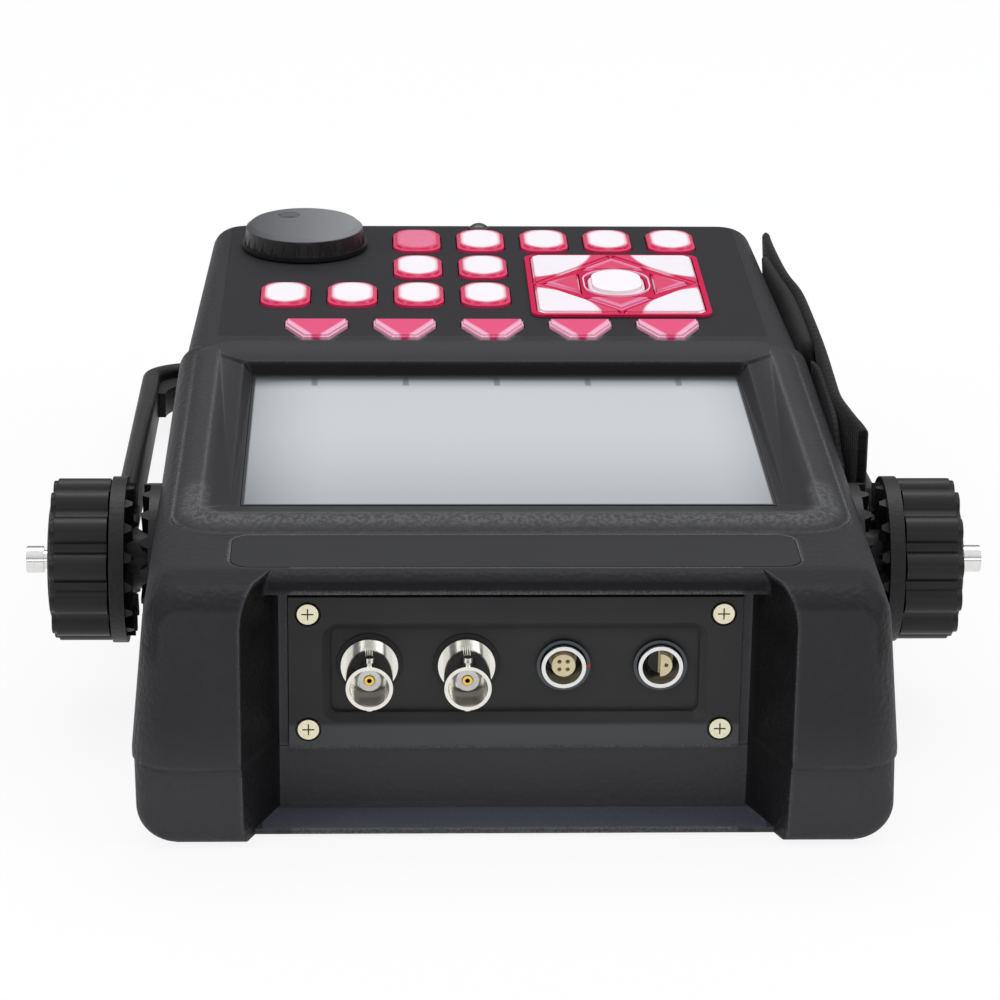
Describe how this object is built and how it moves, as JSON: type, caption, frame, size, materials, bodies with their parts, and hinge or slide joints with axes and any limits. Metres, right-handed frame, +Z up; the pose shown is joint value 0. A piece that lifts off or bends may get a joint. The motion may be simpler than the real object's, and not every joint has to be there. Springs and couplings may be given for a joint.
{
  "type": "portable ultrasonic flaw detector",
  "caption": "Flat handheld test instrument with a tilting bail, clamp knobs, side hand strap, keypad, direction pad, rotary knob, wide display and a recessed socket panel.",
  "frame": {"origin": "on the table under the middle of the whole footprint, bail included", "axes": "+X to the right of the user, +Y from the socket end to the keypad end, +Z up from the table"},
  "size_m": [0.2106, 0.2824, 0.0625],
  "materials": {
    "case_plastic": "leather grain",
    "plate_plastic": "satin",
    "steel": "satin",
    "rubber": "matte",
    "nickel": "satin",
    "dielectric": "satin",
    "gold": "polished",
    "chrome": "polished",
    "cream_insert": "satin",
    "display_glass": "anti-reflective",
    "metal_can": "matte",
    "circuit_board": "satin",
    "bare_label": "satin",
    "red_key": "gloss",
    "white_key": "gloss",
    "pink_key": "gloss",
    "knob_plastic": "satin",
    "bail_finish": "fine texture",
    "strap_fabric": "woven"
  },
  "bodies": {
    "case": {"front_shell": "case_plastic", "back_shell": "case_plastic", "connector_plate": "plate_plastic", "plate_screws": "steel", "socket_seals": "rubber", "coax_left_shell": "nickel", "coax_right_shell": "nickel", "coax_dielectrics": "dielectric", "coax_contacts": "gold", "round_socket_a": "chrome", "round_insert_a": "cream_insert", "round_socket_b": "chrome", "round_insert_b": "cream_insert", "display_window": "display_glass", "lcd_module": "metal_can", "main_board": "circuit_board", "key_board": "circuit_board", "label_plate": "bare_label", "encoder": "metal_can", "status_lamp": "case_plastic", "hub_left": "knob_plastic", "hub_right": "knob_plastic", "spindle_left": "chrome", "spindle_right": "chrome", "hand_strap": "strap_fabric", "strap_pins": "steel", "battery_pack": "case_plastic", "rubber_feet": "rubber", "case_screws": "steel"},
    "key_power": {"key_power": "red_key"},
    "key_a2": {"key_a2": "white_key"},
    "key_a3": {"key_a3": "white_key"},
    "key_a4": {"key_a4": "white_key"},
    "key_a5": {"key_a5": "white_key"},
    "key_b1": {"key_b1": "white_key"},
    "key_b2": {"key_b2": "white_key"},
    "key_c1": {"key_c1": "white_key"},
    "key_c2": {"key_c2": "white_key"},
    "key_c3": {"key_c3": "white_key"},
    "key_c4": {"key_c4": "white_key"},
    "pad_centre": {"pad_centre": "white_key"},
    "pad_up": {"pad_up": "pink_key"},
    "pad_down": {"pad_down": "pink_key"},
    "pad_left": {"pad_left": "pink_key"},
    "pad_right": {"pad_right": "pink_key"},
    "pad_corner_1": {"pad_corner_1": "white_key"},
    "pad_corner_2": {"pad_corner_2": "white_key"},
    "pad_corner_3": {"pad_corner_3": "white_key"},
    "pad_corner_4": {"pad_corner_4": "white_key"},
    "softkey_1": {"softkey_1": "pink_key"},
    "softkey_2": {"softkey_2": "pink_key"},
    "softkey_3": {"softkey_3": "pink_key"},
    "softkey_4": {"softkey_4": "pink_key"},
    "softkey_5": {"softkey_5": "pink_key"},
    "dial": {"rotary_knob": "knob_plastic", "encoder_shaft": "steel"},
    "bail": {"bail": "bail_finish"},
    "clamp_left": {"clamp_knob_left": "knob_plastic"},
    "clamp_right": {"clamp_knob_right": "knob_plastic"}
  },
  "joints": [
    {"name": "key_power_press", "type": "slide", "parent": "case", "child": "key_power", "axis": [0, 0, -1], "range_m": [0, 0.001], "stiffness_N_per_m": 400, "springref_m": -0.001},
    {"name": "key_a2_press", "type": "slide", "parent": "case", "child": "key_a2", "axis": [0, 0, -1], "range_m": [0, 0.001], "stiffness_N_per_m": 400, "springref_m": -0.001},
    {"name": "key_a3_press", "type": "slide", "parent": "case", "child": "key_a3", "axis": [0, 0, -1], "range_m": [0, 0.001], "stiffness_N_per_m": 400, "springref_m": -0.001},
    {"name": "key_a4_press", "type": "slide", "parent": "case", "child": "key_a4", "axis": [0, 0, -1], "range_m": [0, 0.001], "stiffness_N_per_m": 400, "springref_m": -0.001},
    {"name": "key_a5_press", "type": "slide", "parent": "case", "child": "key_a5", "axis": [0, 0, -1], "range_m": [0, 0.001], "stiffness_N_per_m": 400, "springref_m": -0.001},
    {"name": "key_b1_press", "type": "slide", "parent": "case", "child": "key_b1", "axis": [0, 0, -1], "range_m": [0, 0.001], "stiffness_N_per_m": 400, "springref_m": -0.001},
    {"name": "key_b2_press", "type": "slide", "parent": "case", "child": "key_b2", "axis": [0, 0, -1], "range_m": [0, 0.001], "stiffness_N_per_m": 400, "springref_m": -0.001},
    {"name": "key_c1_press", "type": "slide", "parent": "case", "child": "key_c1", "axis": [0, 0, -1], "range_m": [0, 0.001], "stiffness_N_per_m": 400, "springref_m": -0.001},
    {"name": "key_c2_press", "type": "slide", "parent": "case", "child": "key_c2", "axis": [0, 0, -1], "range_m": [0, 0.001], "stiffness_N_per_m": 400, "springref_m": -0.001},
    {"name": "key_c3_press", "type": "slide", "parent": "case", "child": "key_c3", "axis": [0, 0, -1], "range_m": [0, 0.001], "stiffness_N_per_m": 400, "springref_m": -0.001},
    {"name": "key_c4_press", "type": "slide", "parent": "case", "child": "key_c4", "axis": [0, 0, -1], "range_m": [0, 0.001], "stiffness_N_per_m": 400, "springref_m": -0.001},
    {"name": "pad_centre_press", "type": "slide", "parent": "case", "child": "pad_centre", "axis": [0, 0, -1], "range_m": [0, 0.001], "stiffness_N_per_m": 400, "springref_m": -0.001},
    {"name": "pad_up_press", "type": "slide", "parent": "case", "child": "pad_up", "axis": [0, 0, -1], "range_m": [0, 0.001], "stiffness_N_per_m": 400, "springref_m": -0.001},
    {"name": "pad_down_press", "type": "slide", "parent": "case", "child": "pad_down", "axis": [0, 0, -1], "range_m": [0, 0.001], "stiffness_N_per_m": 400, "springref_m": -0.001},
    {"name": "pad_left_press", "type": "slide", "parent": "case", "child": "pad_left", "axis": [0, 0, -1], "range_m": [0, 0.001], "stiffness_N_per_m": 400, "springref_m": -0.001},
    {"name": "pad_right_press", "type": "slide", "parent": "case", "child": "pad_right", "axis": [0, 0, -1], "range_m": [0, 0.001], "stiffness_N_per_m": 400, "springref_m": -0.001},
    {"name": "pad_corner_1_press", "type": "slide", "parent": "case", "child": "pad_corner_1", "axis": [0, 0, -1], "range_m": [0, 0.001], "stiffness_N_per_m": 400, "springref_m": -0.001},
    {"name": "pad_corner_2_press", "type": "slide", "parent": "case", "child": "pad_corner_2", "axis": [0, 0, -1], "range_m": [0, 0.001], "stiffness_N_per_m": 400, "springref_m": -0.001},
    {"name": "pad_corner_3_press", "type": "slide", "parent": "case", "child": "pad_corner_3", "axis": [0, 0, -1], "range_m": [0, 0.001], "stiffness_N_per_m": 400, "springref_m": -0.001},
    {"name": "pad_corner_4_press", "type": "slide", "parent": "case", "child": "pad_corner_4", "axis": [0, 0, -1], "range_m": [0, 0.001], "stiffness_N_per_m": 400, "springref_m": -0.001},
    {"name": "softkey_1_press", "type": "slide", "parent": "case", "child": "softkey_1", "axis": [0, 0, -1], "range_m": [0, 0.001], "stiffness_N_per_m": 400, "springref_m": -0.001},
    {"name": "softkey_2_press", "type": "slide", "parent": "case", "child": "softkey_2", "axis": [0, 0, -1], "range_m": [0, 0.001], "stiffness_N_per_m": 400, "springref_m": -0.001},
    {"name": "softkey_3_press", "type": "slide", "parent": "case", "child": "softkey_3", "axis": [0, 0, -1], "range_m": [0, 0.001], "stiffness_N_per_m": 400, "springref_m": -0.001},
    {"name": "softkey_4_press", "type": "slide", "parent": "case", "child": "softkey_4", "axis": [0, 0, -1], "range_m": [0, 0.001], "stiffness_N_per_m": 400, "springref_m": -0.001},
    {"name": "softkey_5_press", "type": "slide", "parent": "case", "child": "softkey_5", "axis": [0, 0, -1], "range_m": [0, 0.001], "stiffness_N_per_m": 400, "springref_m": -0.001},
    {"name": "dial_turn", "type": "hinge", "parent": "case", "child": "dial", "pos_m": [-0.0471, 0.1026, 0.056], "axis": [0, 0, 1], "continuous": true},
    {"name": "bail_swing", "type": "hinge", "parent": "case", "child": "bail", "pos_m": [0, -0.0652, 0.034], "axis": [1, 0, 0], "range_deg": [0, 195.6]},
    {"name": "clamp_left_turn", "type": "hinge", "parent": "case", "child": "clamp_left", "pos_m": [-0.092, -0.0652, 0.034], "axis": [-1, 0, 0], "continuous": true},
    {"name": "clamp_right_turn", "type": "hinge", "parent": "case", "child": "clamp_right", "pos_m": [0.092, -0.0652, 0.034], "axis": [1, 0, 0], "continuous": true}
  ]
}
